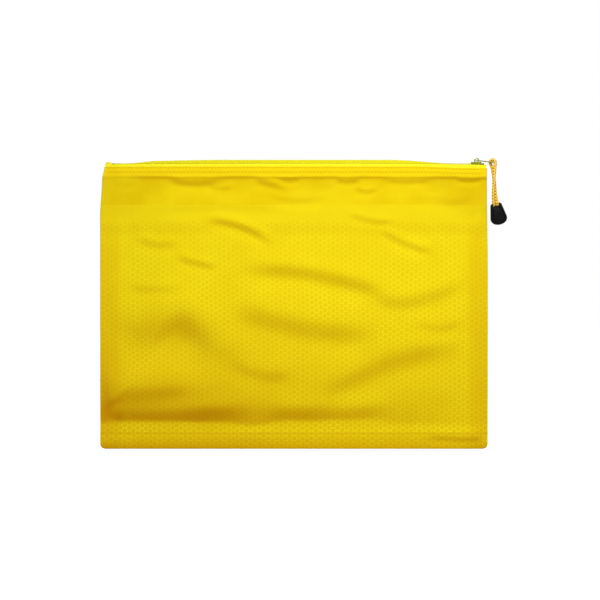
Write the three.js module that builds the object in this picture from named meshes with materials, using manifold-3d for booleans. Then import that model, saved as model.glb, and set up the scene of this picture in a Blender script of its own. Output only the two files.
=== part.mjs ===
// A zipped document bag for A4 papers. It stands upright, front towards -Y, with the
// centre of its bottom edge at the origin. All sizes are millimetres.
import * as THREE from "three";
import { mergeVertices } from "three/addons/utils/BufferGeometryUtils.js";
import Module from "manifold-3d";

const wasm = await Module();
wasm.setup();

// Sheets of the bag
const BAG_WIDTH = 335;
const SHEET = 0.4;
const LAYER_GAP = 0.3;
const SIDE_ALLOWANCE = 15.5;
const BOTTOM_ALLOWANCE = 13.5;
const MESH_HEIGHT = 211;
const LAP = 13.7;
const STRIP_HEIGHT = 46;
const LAP_RAMP = 5;
const BOTTOM_CORNER_RADIUS = 4.3;

// How far the closed bag swells, measured from its middle plane to a sheet's inner face
const HALF_HOLLOW = 4.6;
const SIDE_SWELL = 27;
const BOTTOM_BAND = 23;
const BOTTOM_SWELL = 37;
const MOUTH_RISE = 21;
const CORNER_HALF_DEPTH = 3.5;
const CORNER_PINCH = 4.5;

// Zip tapes
const TAPE = 0.5;
const TAPE_COVERED = 8.3;
const TAPE_SHOWING = 2.1;
const TAPE_BEND = 0.9;
const TAPE_POST_CLEARANCE = 0.4;

// Teeth of the two chain halves, which interleave without touching
const TOOTH_PITCH = 2.4;
const TOOTH_LENGTH = 0.9;
const TOOTH_ROOT_WIDTH = 1;
const TOOTH_TIP_WIDTH = 0.7;
const CHAIN_BAR = 1;
const CHAIN_HEIGHT = 1.2;
const TOOTH_GAP = 0.3;
const CHAIN_SEAT = 0.2;
const STOP_LENGTH = 2.2;
const STOP_HEIGHT = 1.1;
const STOP_WALL = 0.6;
const BOTTOM_STOP_INSET = 10.4;

// Slider
const SLIDER_LENGTH = 8.6;
const SLIDER_WALL = 0.8;
const SLIDER_PLATE = 0.8;
const SLIDER_NARROW_LENGTH = 3;
const SLIDER_FLARE_LENGTH = 3;
const SLIDER_END_GAP = 5.9;
const SLIDER_CORNER = 1;
const TAPE_SLOT_CLEARANCE = 0.35;
const TAPE_SIDE_CLEARANCE = 0.55;
const POST_HALF_WIDTH = 0.6;
const POST_LENGTH = 3.5;
const BAIL_RADIUS = 1.75;
const BAIL_WIRE = 0.45;
const BAIL_LIFT = 1.35;
const BAIL_FROM_END = 3.8;

// Pull tab, from the middle of its bar in the bail to the middle of its bar in the cord
const TAB_LENGTH = 14.5;
const TAB_THICKNESS = 0.8;
const TAB_YAW = 20;
const TAB_DIP = 8;
const TAB_EYE_HALF_WIDTH = 1.3;
const TAB_EYE_LENGTH = 2.2;
const TAB_EYE_BAR = 0.9;
const TAB_CHEEK = 0.8;
const TAB_CORD_BAR = 1;
const TAB_RIM = 1.1;
const TAB_EYE_CORNER = 0.5;
const TAB_END_CORNER = 1;
const TAB_HOLE_CORNER = 0.4;
const TAB_NECK = 1;
const TAB_END_STRAIGHT = 4;
const TAB_CORD_CLEARANCE = 0.35;

// Cord and its moulded end
const CORD_DIAMETER = 2.8;
const CORD_SIDES = 8;
const CORD_STEPS = 52;
const END_LENGTH = 18.9;
const END_TOP_WIDTH = 9.4;
const END_WIDTH = 14.2;
const END_THICKNESS = 5;
const END_TILT = 12;
const END_SOCKET_DEPTH = 7.4;
const END_NOTCH_DEPTH = 2.4;
const END_CLEARANCE = 0.3;
const END_BEVEL = 0.7;
const END_ROUND_SHARE = 0.8;
const END_FULLNESS = 0.6;
const END_TOP_CORNER = 1.6;
const CORD_ENDS_GAP = 0.3;
const COVER_INSET = 2.1;
const COVER_THICKNESS = 1.1;
const COVER_PROUD = 0.4;
const COVER_TOP_SHARE = 0.6;

// How finely curves are drawn, and how far a cutting block reaches past what it cuts
const CURVE_STEPS = 6;
const SWELL_STEPS = 5;
const CORNER_STEPS = 3;
const WIRE_SIDES = 8;
const RING_STEPS = 20;
const OVERCUT = 1;

// Values worked out from the sizes above
const HALF_WIDTH = BAG_WIDTH / 2;
const STRIP_BOTTOM = MESH_HEIGHT - LAP;
const STRIP_TOP = STRIP_BOTTOM + STRIP_HEIGHT;
const TAPE_BOTTOM = STRIP_TOP - TAPE_COVERED;
const TAPE_TOP = STRIP_TOP + TAPE_SHOWING;
const ALLOWANCE_FACE = LAYER_GAP / 2;
const SEAM_DEPTH = ALLOWANCE_FACE + SHEET + LAYER_GAP;
const CHAIN_ROOT = (TOOTH_LENGTH + TOOTH_GAP) / 2;
const CHAIN_TIP = TOOTH_LENGTH - CHAIN_ROOT;
const CHAIN_OUTER = CHAIN_ROOT + CHAIN_BAR;
const CHAIN_BOTTOM = TAPE_TOP + CHAIN_SEAT;
const CHAIN_TOP = CHAIN_BOTTOM + CHAIN_HEIGHT;
const TAPE_EDGE = POST_HALF_WIDTH + TAPE_POST_CLEARANCE;
const TAPE_END = HALF_WIDTH - SHEET - LAYER_GAP;
const CHAIN_SPREAD = CHAIN_TIP + TOOTH_GAP + POST_HALF_WIDTH;
const SLIDER_NARROW = CHAIN_OUTER + TOOTH_GAP + SLIDER_WALL;
const SLIDER_WIDE = SLIDER_NARROW + CHAIN_SPREAD;
const SLIDER_RIGHT = HALF_WIDTH - SLIDER_END_GAP;
const SLIDER_LEFT = SLIDER_RIGHT - SLIDER_LENGTH;
const SPREAD_START = SLIDER_LEFT + SLIDER_NARROW_LENGTH;
const SPREAD_END = SPREAD_START + SLIDER_FLARE_LENGTH;
const SLOT_BOTTOM = TAPE_TOP - TAPE - TAPE_SLOT_CLEARANCE;
const SLOT_TOP = TAPE_TOP + TAPE_SLOT_CLEARANCE;
const SLIDER_BOTTOM = SLOT_BOTTOM - SLIDER_PLATE;
const CHANNEL_TOP = CHAIN_TOP + TOOTH_GAP;
const SLIDER_TOP = CHANNEL_TOP + SLIDER_PLATE;
const MOUTH_HALF_DEPTH = SLIDER_WIDE + TAPE_SIDE_CLEARANCE + TAPE + LAYER_GAP;
const BAIL_X = SLIDER_RIGHT - BAIL_FROM_END;
const BAIL_Z = SLIDER_TOP + BAIL_LIFT;
const CORD_RADIUS = CORD_DIAMETER / 2;
const STOPS_X = SLIDER_RIGHT + TOOTH_GAP;
const CHAIN_RIGHT = SLIDER_RIGHT - TOOTH_GAP / 2;
const BOTTOM_STOP_X = BOTTOM_STOP_INSET - HALF_WIDTH;
const CHAIN_LEFT = BOTTOM_STOP_X + STOP_LENGTH + TOOTH_GAP;

// Cord route, from its left end in the moulded end, up round the tab's bar and back down
const CORD_ROUTE = [
  [172.9, -8.9, 205.5],
  [172.1, -8.9, 209.3],
  [171.4, -9.6, 219],
  [171.9, -9.0, 228],
  [172.3, -8.1, 236],
  [173.0, -6.9, 242.4],
  [173.37, -5.66, 247.23],
  [172.76, -5.44, 248.79],
  [171.3, -4.91, 249.43],
  [169.84, -4.38, 248.79],
  [169.23, -4.16, 247.23],
  [171.0, -3.9, 242.4],
  [172.0, -4.6, 236],
  [172.9, -5.6, 228],
  [173.6, -7.4, 219],
  [175.1, -8.9, 209.9],
  [175.9, -8.9, 206.1],
];
const END_MOUTH = new THREE.Vector3(173.4, -8.9, 211.9);

// Colours
const MESH_YELLOW = 0xe1c20e;
const PLAIN_YELLOW = 0xefd20f;
const TAPE_YELLOW = 0xfaf320;
const COIL_YELLOW = 0xc9c020;
const SLIDER_GREEN = 0x8a8f1a;
const CORD_GOLD = 0xe0a62c;
const END_BLACK = 0x141412;

const bag = new THREE.Group();
const backHalf = new THREE.Group();
backHalf.scale.y = -1;
bag.add(backHalf);

function addMesh(parent, name, geometry, color, roughness, metalness = 0) {
  const material = new THREE.MeshStandardMaterial({ color, roughness, metalness });
  const mesh = new THREE.Mesh(geometry, material);
  mesh.name = name;
  parent.add(mesh);
  return mesh;
}

// Booleans

function solid(geometry) {
  const bare = geometry.index ? geometry.toNonIndexed() : geometry.clone();
  bare.deleteAttribute("normal");
  bare.deleteAttribute("uv");
  const merged = mergeVertices(bare, 1e-4);
  return new wasm.Manifold(
    new wasm.Mesh({
      numProp: 3,
      vertProperties: merged.attributes.position.array,
      triVerts: new Uint32Array(merged.index.array),
    }),
  );
}

function geometryOf(body) {
  const mesh = body.getMesh();
  const geometry = new THREE.BufferGeometry();
  geometry.setAttribute("position", new THREE.BufferAttribute(mesh.vertProperties, 3));
  geometry.setIndex(new THREE.BufferAttribute(mesh.triVerts, 1));
  return geometry;
}

function box(x0, x1, y0, y1, z0, z1) {
  const geometry = new THREE.BoxGeometry(x1 - x0, y1 - y0, z1 - z0);
  return geometry.translate((x0 + x1) / 2, (y0 + y1) / 2, (z0 + z1) / 2);
}

function plate(shape, z0, z1) {
  const options = { depth: z1 - z0, bevelEnabled: false, curveSegments: CURVE_STEPS };
  return new THREE.ExtrudeGeometry(shape, options).translate(0, 0, z0);
}

function outline(points) {
  return new THREE.Shape(points.map(([x, y]) => new THREE.Vector2(x, y)));
}

// Sheets

function ease(t) {
  const s = Math.min(1, Math.max(0, t));
  return s * s * (3 - 2 * s);
}

// Closes two grids of points, the sheet's inner and outer face, into one thin solid
function sheetSolid(inner, outer) {
  const rows = inner.length;
  const columns = inner[0].length;
  const points = [...inner.flat(), ...outer.flat()];
  const at = (face, i, j) => face * rows * columns + i * columns + j;
  const index = [];
  const quad = (a, b, c, d) => index.push(a, b, c, a, c, d);
  for (let i = 0; i + 1 < rows; i++) {
    for (let j = 0; j + 1 < columns; j++) {
      quad(at(0, i, j), at(0, i, j + 1), at(0, i + 1, j + 1), at(0, i + 1, j));
      quad(at(1, i, j), at(1, i + 1, j), at(1, i + 1, j + 1), at(1, i, j + 1));
    }
  }
  const last = columns - 1;
  for (let i = 0; i + 1 < rows; i++) {
    quad(at(0, i, 0), at(0, i + 1, 0), at(1, i + 1, 0), at(1, i, 0));
    quad(at(0, i + 1, last), at(0, i, last), at(1, i, last), at(1, i + 1, last));
  }
  const end = rows - 1;
  for (let j = 0; j + 1 < columns; j++) {
    quad(at(0, 0, j + 1), at(0, 0, j), at(1, 0, j), at(1, 0, j + 1));
    quad(at(0, end, j), at(0, end, j + 1), at(1, end, j + 1), at(1, end, j));
  }
  const geometry = new THREE.BufferGeometry().setFromPoints(points);
  geometry.setIndex(index);
  return geometry;
}

function mouthDepth(x) {
  const inFromEdge = HALF_WIDTH - Math.abs(x);
  const open = ease(inFromEdge / CORNER_PINCH);
  return CORNER_HALF_DEPTH + (MOUTH_HALF_DEPTH - CORNER_HALF_DEPTH) * open;
}

// Distance from the bag's middle plane to the inner face of its outermost single layer
function sheetDepth(x, z) {
  const inFromEdge = HALF_WIDTH - Math.abs(x);
  const sides = ease((inFromEdge - SIDE_ALLOWANCE) / SIDE_SWELL);
  const bottom = ease((z - BOTTOM_BAND) / BOTTOM_SWELL);
  const body = SEAM_DEPTH + (HALF_HOLLOW - SEAM_DEPTH) * sides * bottom;
  const mouth = ease((z - STRIP_TOP + MOUTH_RISE) / MOUTH_RISE);
  return body + (mouthDepth(x) - body) * mouth;
}

// The mesh sheet steps outwards where it laps over the plain strip
function meshDepth(x, z) {
  const lapped = ease((z - STRIP_BOTTOM + LAP_RAMP + LAYER_GAP) / LAP_RAMP);
  return sheetDepth(x, z) + (SHEET + LAYER_GAP) * lapped;
}

function spaced(from, to, count) {
  return Array.from({ length: count + 1 }, (_, i) => from + ((to - from) * i) / count);
}

function sheetColumns(cornerColumns) {
  const flat = HALF_WIDTH - SIDE_ALLOWANCE;
  const full = flat - SIDE_SWELL;
  const pinched = spaced(HALF_WIDTH, HALF_WIDTH - CORNER_PINCH, CORNER_STEPS);
  const right = [...(cornerColumns ? pinched : [HALF_WIDTH]), ...spaced(flat, full, SWELL_STEPS)];
  return [...right.map((x) => -x), ...right.reverse()];
}

function frontSheet(columns, rows, depth) {
  const face = (offset) =>
    columns.map((x) => rows.map((z) => new THREE.Vector3(x, -depth(x, z) - offset, z)));
  return sheetSolid(face(0), face(SHEET));
}

// The edge of a sheet folds inwards at each side as a seam allowance
function sideAllowance(side, z0, z1) {
  const edge = HALF_WIDTH - SIDE_ALLOWANCE;
  const flap = outline([
    [side * edge, -ALLOWANCE_FACE],
    [side * edge, -ALLOWANCE_FACE - SHEET],
    [side * (HALF_WIDTH - SHEET), -ALLOWANCE_FACE - SHEET],
    [side * (HALF_WIDTH - SHEET), -SEAM_DEPTH - SHEET / 2],
    [side * HALF_WIDTH, -SEAM_DEPTH - SHEET / 2],
    [side * HALF_WIDTH, -ALLOWANCE_FACE],
  ]);
  return solid(plate(flap, z0, z1));
}

// At the mouth the fold widens into a side wall, so the seam stays shut up to the zip
function mouthCorner(side, rows) {
  const low = rows[0];
  const wall = outline([
    [ALLOWANCE_FACE, low],
    ...rows.map((z) => [sheetDepth(HALF_WIDTH, z) + SHEET / 2, z]),
    [ALLOWANCE_FACE, STRIP_TOP],
  ]);
  const upright = plate(wall, 0, SHEET).rotateX(Math.PI / 2).rotateZ(-Math.PI / 2);
  upright.translate(side > 0 ? HALF_WIDTH : SHEET - HALF_WIDTH, 0, 0);
  const from = HALF_WIDTH - SIDE_ALLOWANCE;
  const to = HALF_WIDTH - SHEET / 2;
  const flap = box(
    Math.min(side * from, side * to),
    Math.max(side * from, side * to),
    -ALLOWANCE_FACE - SHEET,
    -ALLOWANCE_FACE,
    low,
    STRIP_TOP,
  );
  return solid(upright).add(solid(flap));
}

// The same fold along the bottom edge, which gives the bag a flat edge to stand on
function bottomAllowance() {
  const reach = HALF_WIDTH - SIDE_ALLOWANCE - LAYER_GAP;
  const flap = box(-reach, reach, -ALLOWANCE_FACE - SHEET, -ALLOWANCE_FACE, 0, BOTTOM_ALLOWANCE);
  const fold = box(-reach, reach, -SEAM_DEPTH - SHEET / 2, -ALLOWANCE_FACE, 0, SHEET);
  return solid(flap).add(solid(fold));
}

// A block the size of the bag with its two bottom corners rounded
function roundedFront() {
  const radius = BOTTOM_CORNER_RADIUS;
  const side = HALF_WIDTH + OVERCUT;
  const shape = new THREE.Shape();
  shape.moveTo(-side, MESH_HEIGHT + OVERCUT);
  shape.lineTo(-side, radius);
  shape.lineTo(-HALF_WIDTH, radius);
  shape.absarc(radius - HALF_WIDTH, radius, radius, Math.PI, Math.PI * 1.5, false);
  shape.absarc(HALF_WIDTH - radius, radius, radius, Math.PI * 1.5, Math.PI * 2, false);
  shape.lineTo(side, radius);
  shape.lineTo(side, MESH_HEIGHT + OVERCUT);
  const depth = MOUTH_HALF_DEPTH + SHEET;
  return solid(plate(shape, -depth, 3 * depth).rotateX(Math.PI / 2));
}

function meshPanel() {
  const lapStart = STRIP_BOTTOM - LAP_RAMP - LAYER_GAP;
  const rows = [
    0,
    ...spaced(BOTTOM_BAND, BOTTOM_BAND + BOTTOM_SWELL, SWELL_STEPS),
    ...spaced(lapStart, lapStart + LAP_RAMP, CORNER_STEPS),
    MESH_HEIGHT,
  ];
  let panel = solid(frontSheet(sheetColumns(false), rows, meshDepth));
  for (const side of [-1, 1]) {
    panel = panel.add(sideAllowance(side, 0, STRIP_BOTTOM - LAP_RAMP));
  }
  return geometryOf(panel.add(bottomAllowance()).intersect(roundedFront()));
}

function topStrip() {
  const riseStart = STRIP_TOP - MOUTH_RISE;
  const rising = spaced(riseStart, STRIP_TOP, CURVE_STEPS);
  let strip = solid(frontSheet(sheetColumns(true), [STRIP_BOTTOM, ...rising], sheetDepth));
  for (const side of [-1, 1]) {
    strip = strip.add(sideAllowance(side, STRIP_BOTTOM, riseStart));
    strip = strip.add(mouthCorner(side, rising));
  }
  return geometryOf(strip);
}

// Zip tapes and chain

// How far each half of the zip is held away from the middle by the slider
function chainSpread(x) {
  const parted = ease((x - SPREAD_START) / (SPREAD_END - SPREAD_START));
  const closing = ease((x - STOPS_X - STOP_LENGTH) / (HALF_WIDTH - STOPS_X - STOP_LENGTH));
  return CHAIN_SPREAD * (parted - closing / 2);
}

function tapeStation(x) {
  const leg = [TAPE_BOTTOM, (TAPE_BOTTOM + STRIP_TOP) / 2, STRIP_TOP];
  const outer = leg.map((z) => [sheetDepth(x, z) - LAYER_GAP, z]);
  const inner = outer.map(([y, z]) => [y - TAPE, z]);
  const corner = mouthDepth(x) - LAYER_GAP - TAPE_BEND;
  for (const angle of [0, Math.PI / 4, Math.PI / 2]) {
    const out = [Math.cos(angle), Math.sin(angle)];
    const bendZ = TAPE_TOP - TAPE_BEND;
    const inside = TAPE_BEND - TAPE;
    outer.push([corner + TAPE_BEND * out[0], bendZ + TAPE_BEND * out[1]]);
    inner.push([corner + inside * out[0], bendZ + inside * out[1]]);
  }
  const edge = TAPE_EDGE + chainSpread(x);
  outer.push([edge, TAPE_TOP]);
  inner.push([edge, TAPE_TOP - TAPE]);
  const place = ([y, z]) => new THREE.Vector3(x, -y, z);
  return { inner: inner.map(place), outer: outer.map(place) };
}

function zipTape() {
  const leftCorner = spaced(-TAPE_END, CORNER_PINCH - HALF_WIDTH, CORNER_STEPS);
  const parting = spaced(SPREAD_START, SPREAD_END, SWELL_STEPS);
  const rightCorner = spaced(HALF_WIDTH - CORNER_PINCH, TAPE_END, CORNER_STEPS);
  const stations = [...leftCorner, ...parting, ...rightCorner].map(tapeStation);
  return sheetSolid(
    stations.map((s) => s.inner),
    stations.map((s) => s.outer),
  );
}

// One half of the chain: a bar on the tape's edge with a row of tapered teeth
function zipTeeth(phase) {
  const inward = [];
  const first = CHAIN_LEFT + TOOTH_PITCH * (0.5 + phase);
  for (let x = first; x + TOOTH_ROOT_WIDTH / 2 < CHAIN_RIGHT; x += TOOTH_PITCH) {
    inward.push([x - TOOTH_ROOT_WIDTH / 2, -CHAIN_ROOT]);
    inward.push([x - TOOTH_TIP_WIDTH / 2, CHAIN_TIP]);
    inward.push([x + TOOTH_TIP_WIDTH / 2, CHAIN_TIP]);
    inward.push([x + TOOTH_ROOT_WIDTH / 2, -CHAIN_ROOT]);
  }
  const back = [CHAIN_RIGHT, ...spaced(SPREAD_END, SPREAD_START, CURVE_STEPS), CHAIN_LEFT];
  const points = [
    [CHAIN_LEFT, -CHAIN_ROOT],
    ...inward,
    [CHAIN_RIGHT, -CHAIN_ROOT],
    ...back.map((x) => [x, -CHAIN_OUTER]),
  ];
  const spread = points.map(([x, y]) => [x, y - chainSpread(x)]);
  return plate(outline(spread), CHAIN_BOTTOM, CHAIN_TOP);
}

// A clip round one tape's edge that ends the slider's travel
function topStop() {
  const parted = CHAIN_SPREAD;
  const wall = TAPE_EDGE + parted - TOOTH_GAP;
  const x0 = STOPS_X;
  const x1 = STOPS_X + STOP_LENGTH;
  const reach = CHAIN_OUTER + parted;
  const low = TAPE_TOP - TAPE - CHAIN_SEAT - STOP_WALL;
  const high = CHAIN_BOTTOM + STOP_HEIGHT;
  const whole = solid(box(x0, x1, -reach, STOP_WALL - wall, low, high));
  const past = [x0 - OVERCUT, x1 + OVERCUT, -reach - OVERCUT];
  const slit = box(...past, -wall, low + STOP_WALL, CHAIN_BOTTOM);
  return geometryOf(whole.subtract(solid(slit)));
}

// A bridge over both tapes at the closed end of the zip, with a keel below them
function bottomStop() {
  const x0 = BOTTOM_STOP_X;
  const x1 = BOTTOM_STOP_X + STOP_LENGTH;
  const stem = TAPE_EDGE - TOOTH_GAP;
  const bridge = box(x0, x1, -CHAIN_OUTER, CHAIN_OUTER, CHAIN_BOTTOM, CHAIN_BOTTOM + STOP_HEIGHT);
  const keelTop = TAPE_TOP - TAPE - CHAIN_SEAT;
  const keel = box(x0, x1, -CHAIN_OUTER, CHAIN_OUTER, keelTop - STOP_WALL, keelTop);
  const post = box(x0, x1, -stem, stem, keelTop - STOP_WALL / 2, CHAIN_BOTTOM + STOP_HEIGHT / 2);
  return geometryOf(solid(bridge).add(solid(keel)).add(solid(post)));
}

// Slider

// Plan of the slider or of its channel: narrow at the left, flared at the right
function flaredPlan(narrow, wide, overrun, corner) {
  const x0 = SLIDER_LEFT - overrun;
  const x1 = SLIDER_RIGHT + overrun;
  const shape = new THREE.Shape();
  shape.moveTo(x0, -narrow + corner);
  shape.quadraticCurveTo(x0, -narrow, x0 + corner, -narrow);
  shape.lineTo(SPREAD_START, -narrow);
  shape.bezierCurveTo(
    SPREAD_START + SLIDER_FLARE_LENGTH / 2,
    -narrow,
    SPREAD_END - SLIDER_FLARE_LENGTH / 2,
    -wide,
    SPREAD_END,
    -wide,
  );
  shape.lineTo(x1 - corner, -wide);
  shape.quadraticCurveTo(x1, -wide, x1, -wide + corner);
  shape.lineTo(x1, wide - corner);
  shape.quadraticCurveTo(x1, wide, x1 - corner, wide);
  shape.lineTo(SPREAD_END, wide);
  shape.bezierCurveTo(
    SPREAD_END - SLIDER_FLARE_LENGTH / 2,
    wide,
    SPREAD_START + SLIDER_FLARE_LENGTH / 2,
    narrow,
    SPREAD_START,
    narrow,
  );
  shape.lineTo(x0 + corner, narrow);
  shape.quadraticCurveTo(x0, narrow, x0, narrow - corner);
  return shape;
}

// The wedge between the plates that parts the teeth
function postPlan() {
  const tip = SLIDER_RIGHT - POST_LENGTH;
  const shoulder = SLIDER_RIGHT - POST_HALF_WIDTH;
  const shape = new THREE.Shape();
  shape.moveTo(tip, 0);
  shape.lineTo(SPREAD_END, -POST_HALF_WIDTH);
  shape.lineTo(shoulder, -POST_HALF_WIDTH);
  shape.absarc(shoulder, 0, POST_HALF_WIDTH, -Math.PI / 2, Math.PI / 2, false);
  shape.lineTo(SPREAD_END, POST_HALF_WIDTH);
  return shape;
}

function sliderBody() {
  const narrow = CHAIN_OUTER + TOOTH_GAP;
  const blockPlan = flaredPlan(SLIDER_NARROW, SLIDER_WIDE, 0, SLIDER_CORNER);
  const block = plate(blockPlan, SLIDER_BOTTOM, SLIDER_TOP);
  const channelPlan = flaredPlan(narrow, narrow + CHAIN_SPREAD, OVERCUT, 0);
  const channel = solid(plate(channelPlan, SLOT_BOTTOM, CHANNEL_TOP));
  const wide = SLIDER_WIDE + OVERCUT;
  const ends = [SLIDER_LEFT - OVERCUT, SLIDER_RIGHT + OVERCUT];
  const slot = solid(box(...ends, -wide, wide, SLOT_BOTTOM, SLOT_TOP));
  const post = solid(plate(postPlan(), SLIDER_BOTTOM, SLIDER_TOP));
  const ring = new THREE.TorusGeometry(BAIL_RADIUS, BAIL_WIRE, WIRE_SIDES, RING_STEPS);
  ring.rotateX(Math.PI / 2).translate(BAIL_X, 0, BAIL_Z);
  const footing = SLIDER_TOP - SLIDER_PLATE / 2;
  const below = box(...ends, -BAIL_RADIUS, BAIL_RADIUS, SLIDER_BOTTOM, footing);
  const bail = solid(ring).subtract(solid(below));
  const shell = solid(block).subtract(channel.add(slot));
  return geometryOf(shell.add(post).add(bail));
}

// Pull tab, drawn flat with the bail's bar on the Y axis and its length along +X
function tabPlan() {
  const eye = TAB_EYE_HALF_WIDTH + TAB_CHEEK;
  const hole = CORD_RADIUS + TAB_CORD_CLEARANCE;
  const wide = hole + TAB_RIM;
  const end = TAB_LENGTH + TAB_CORD_BAR / 2;
  const start = -TAB_EYE_BAR / 2;
  const shape = new THREE.Shape();
  const neck = TAB_EYE_LENGTH + TAB_NECK;
  shape.moveTo(start, -eye + TAB_EYE_CORNER);
  shape.quadraticCurveTo(start, -eye, start + TAB_EYE_CORNER, -eye);
  shape.lineTo(neck, -eye);
  shape.lineTo(end - TAB_END_STRAIGHT, -wide);
  shape.lineTo(end - TAB_END_CORNER, -wide);
  shape.quadraticCurveTo(end, -wide, end, -wide + TAB_END_CORNER);
  shape.lineTo(end, wide - TAB_END_CORNER);
  shape.quadraticCurveTo(end, wide, end - TAB_END_CORNER, wide);
  shape.lineTo(end - TAB_END_STRAIGHT, wide);
  shape.lineTo(neck, eye);
  shape.lineTo(start + TAB_EYE_CORNER, eye);
  shape.quadraticCurveTo(start, eye, start, eye - TAB_EYE_CORNER);
  const eyeStart = TAB_EYE_BAR / 2;
  shape.holes.push(roundedHole(eyeStart, eyeStart + TAB_EYE_LENGTH, TAB_EYE_HALF_WIDTH));
  const holeEnd = TAB_LENGTH - TAB_CORD_BAR / 2;
  shape.holes.push(roundedHole(holeEnd - 2 * hole, holeEnd, hole));
  return shape;
}

function roundedHole(x0, x1, half) {
  const corner = TAB_HOLE_CORNER;
  const hole = new THREE.Path();
  hole.moveTo(x0, half - corner);
  hole.quadraticCurveTo(x0, half, x0 + corner, half);
  hole.lineTo(x1 - corner, half);
  hole.quadraticCurveTo(x1, half, x1, half - corner);
  hole.lineTo(x1, -half + corner);
  hole.quadraticCurveTo(x1, -half, x1 - corner, -half);
  hole.lineTo(x0 + corner, -half);
  hole.quadraticCurveTo(x0, -half, x0, -half + corner);
  return hole;
}

function placeTab(tab) {
  tab.position.set(BAIL_X, 0, BAIL_Z);
  tab.rotation.set(
    0,
    THREE.MathUtils.degToRad(TAB_DIP),
    THREE.MathUtils.degToRad(-TAB_YAW),
    "ZYX",
  );
}

// Cord

function pullCord() {
  const route = new THREE.CatmullRomCurve3(CORD_ROUTE.map((p) => new THREE.Vector3(...p)));
  const section = new THREE.Shape();
  for (let i = 0; i < CORD_SIDES; i++) {
    const angle = (2 * Math.PI * i) / CORD_SIDES;
    const point = [CORD_RADIUS * Math.cos(angle), CORD_RADIUS * Math.sin(angle)];
    if (i) section.lineTo(...point);
    else section.moveTo(...point);
  }
  return new THREE.ExtrudeGeometry(section, { steps: CORD_STEPS, extrudePath: route });
}

// Moulded cord end, drawn in its own plane with its mouth at the origin and hanging down

function endPlan(inset) {
  const top = END_TOP_WIDTH / 2 - inset;
  const wide = END_WIDTH / 2 - inset;
  const low = -END_LENGTH + inset;
  const round = wide * END_ROUND_SHARE;
  const full = wide * END_FULLNESS;
  const knee = low + round * (1 - END_FULLNESS);
  const shape = new THREE.Shape();
  const corner = END_TOP_CORNER;
  const slope = (wide - top) / (END_LENGTH - round);
  shape.moveTo(corner - top, -inset);
  shape.quadraticCurveTo(-top, -inset, -top - slope * corner, -inset - corner);
  shape.lineTo(-wide, low + round);
  shape.bezierCurveTo(-wide, knee, -full, low, 0, low);
  shape.bezierCurveTo(full, low, wide, knee, wide, low + round);
  shape.lineTo(top + slope * corner, -inset - corner);
  shape.quadraticCurveTo(top, -inset, top - corner, -inset);
  return shape;
}

function coverPlan(grow) {
  const shape = endPlan(COVER_INSET - grow);
  const top = grow - END_SOCKET_DEPTH * COVER_TOP_SHARE;
  return outline(shape.getPoints(CURVE_STEPS).map((p) => [p.x, Math.min(p.y, top)]));
}

function endBody() {
  const half = END_THICKNESS / 2;
  const rounded = new THREE.ExtrudeGeometry(endPlan(END_BEVEL), {
    depth: END_THICKNESS - 2 * END_BEVEL,
    bevelThickness: END_BEVEL,
    bevelSize: END_BEVEL,
    bevelSegments: 2,
    curveSegments: CURVE_STEPS,
  });
  rounded.translate(0, 0, END_BEVEL - half);
  const wide = CORD_DIAMETER + CORD_ENDS_GAP / 2 + END_CLEARANCE;
  const deep = CORD_RADIUS + END_CLEARANCE;
  const front = half + OVERCUT;
  const socket = box(-wide, wide, -END_SOCKET_DEPTH, OVERCUT, -deep, deep);
  const notch = box(-CORD_DIAMETER, CORD_DIAMETER, -END_NOTCH_DEPTH, OVERCUT, 0, front);
  const recessFloor = half - COVER_THICKNESS + COVER_PROUD - END_CLEARANCE;
  const recess = plate(coverPlan(END_CLEARANCE), recessFloor, front);
  const shell = solid(rounded).subtract(solid(socket)).subtract(solid(notch));
  return geometryOf(shell.subtract(solid(recess)));
}

function endCover() {
  const front = END_THICKNESS / 2 + COVER_PROUD;
  return plate(coverPlan(0), front - COVER_THICKNESS, front);
}

function placeEnd(mesh) {
  const tilt = THREE.MathUtils.degToRad(END_TILT);
  mesh.position.copy(END_MOUTH);
  mesh.rotation.set(Math.PI / 2, -tilt, 0, "YXZ");
}

// The whole bag

addMesh(bag, "front_mesh_panel", meshPanel(), MESH_YELLOW, 0.45);
addMesh(bag, "front_top_strip", topStrip(), PLAIN_YELLOW, 0.35);
addMesh(bag, "front_zip_tape", zipTape(), TAPE_YELLOW, 0.8);
addMesh(bag, "front_zip_teeth", zipTeeth(0), COIL_YELLOW, 0.4);
addMesh(bag, "front_top_stop", topStop(), SLIDER_GREEN, 0.4, 0.6);
addMesh(backHalf, "back_mesh_panel", meshPanel(), MESH_YELLOW, 0.45);
addMesh(backHalf, "back_top_strip", topStrip(), PLAIN_YELLOW, 0.35);
addMesh(backHalf, "back_zip_tape", zipTape(), TAPE_YELLOW, 0.8);
addMesh(backHalf, "back_zip_teeth", zipTeeth(0.5), COIL_YELLOW, 0.4);
addMesh(backHalf, "back_top_stop", topStop(), SLIDER_GREEN, 0.4, 0.6);
addMesh(bag, "bottom_stop", bottomStop(), SLIDER_GREEN, 0.4, 0.6);
addMesh(bag, "slider_body", sliderBody(), SLIDER_GREEN, 0.4, 0.6);
const tabHalf = TAB_THICKNESS / 2;
placeTab(addMesh(bag, "pull_tab", plate(tabPlan(), -tabHalf, tabHalf), SLIDER_GREEN, 0.4, 0.6));
addMesh(bag, "pull_cord", pullCord(), CORD_GOLD, 0.85);
placeEnd(addMesh(bag, "cord_end_body", endBody(), END_BLACK, 0.5));
placeEnd(addMesh(bag, "cord_end_cover", endCover(), END_BLACK, 0.5));

export default bag;
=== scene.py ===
"""The looks of a zipped document bag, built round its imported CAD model."""

import math
from functools import partial

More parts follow.
